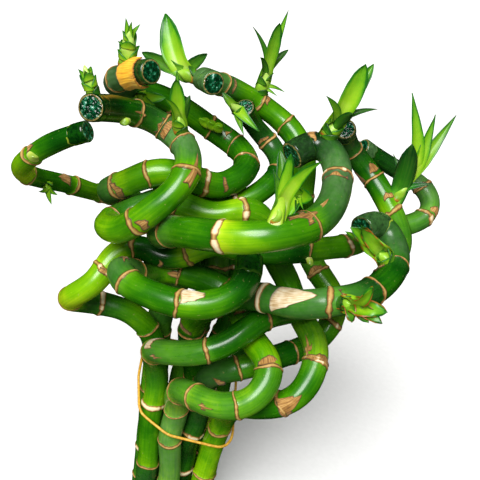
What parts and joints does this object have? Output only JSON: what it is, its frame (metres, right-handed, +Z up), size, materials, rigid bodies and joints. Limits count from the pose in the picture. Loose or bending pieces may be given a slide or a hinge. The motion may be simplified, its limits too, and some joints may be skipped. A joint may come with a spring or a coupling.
{
  "type": "lucky bamboo",
  "caption": "Bundle of curled and looped green canes with node rings, waxed cut tips and small leafy shoots, tied with a rubber band and standing on its cut ends.",
  "frame": {"origin": "on the surface that the cut ends stand on, under the middle of the bundle's outline seen from above", "axes": "+Z up along the stems, -Y the front that the picture shows, +X to the right of that front"},
  "size_m": [0.2226, 0.1408, 0.3141],
  "materials": {
    "cane": "gloss",
    "wax": "gloss",
    "leaf": "satin",
    "bud": "satin",
    "dry_sheath": "matte",
    "rubber_band": "matte"
  },
  "bodies": {
    "root": {"cane_left_coil": "cane", "cane_top_left": "cane", "cane_top_back": "cane", "cane_inner_back": "cane", "cane_front_loop": "cane", "cane_right_loop": "cane", "cane_right_arm": "cane", "cane_far_right": "cane", "cane_far_left": "cane", "cane_low_coil": "cane", "wax_tip_left_coil": "wax", "wax_tip_top_left": "wax", "wax_tip_top_back": "wax", "wax_tip_inner_back": "wax", "wax_tip_front_loop": "wax", "wax_tip_right_loop": "wax", "wax_tip_right_arm": "wax", "wax_tip_far_right": "wax", "wax_tip_far_left": "wax", "wax_tip_low_coil": "wax", "shoot_left_tip": "leaf", "shoot_top_left": "leaf", "shoot_left_upright": "leaf", "shoot_top_middle": "leaf", "shoot_top_right": "leaf", "shoot_front_loop": "leaf", "shoot_far_right": "leaf", "shoot_front_left": "leaf", "shoot_front_middle": "leaf", "shoot_right_curled": "leaf", "shoot_right_inner": "leaf", "shoot_far_left": "leaf", "shoot_inner_back": "leaf", "shoot_lying": "leaf", "bud_far_left": "bud", "bud_left_coil": "bud", "bud_top_left": "bud", "bud_far_right": "bud", "dry_sheath": "dry_sheath", "rubber_band": "rubber_band"}
  },
  "joints": []
}
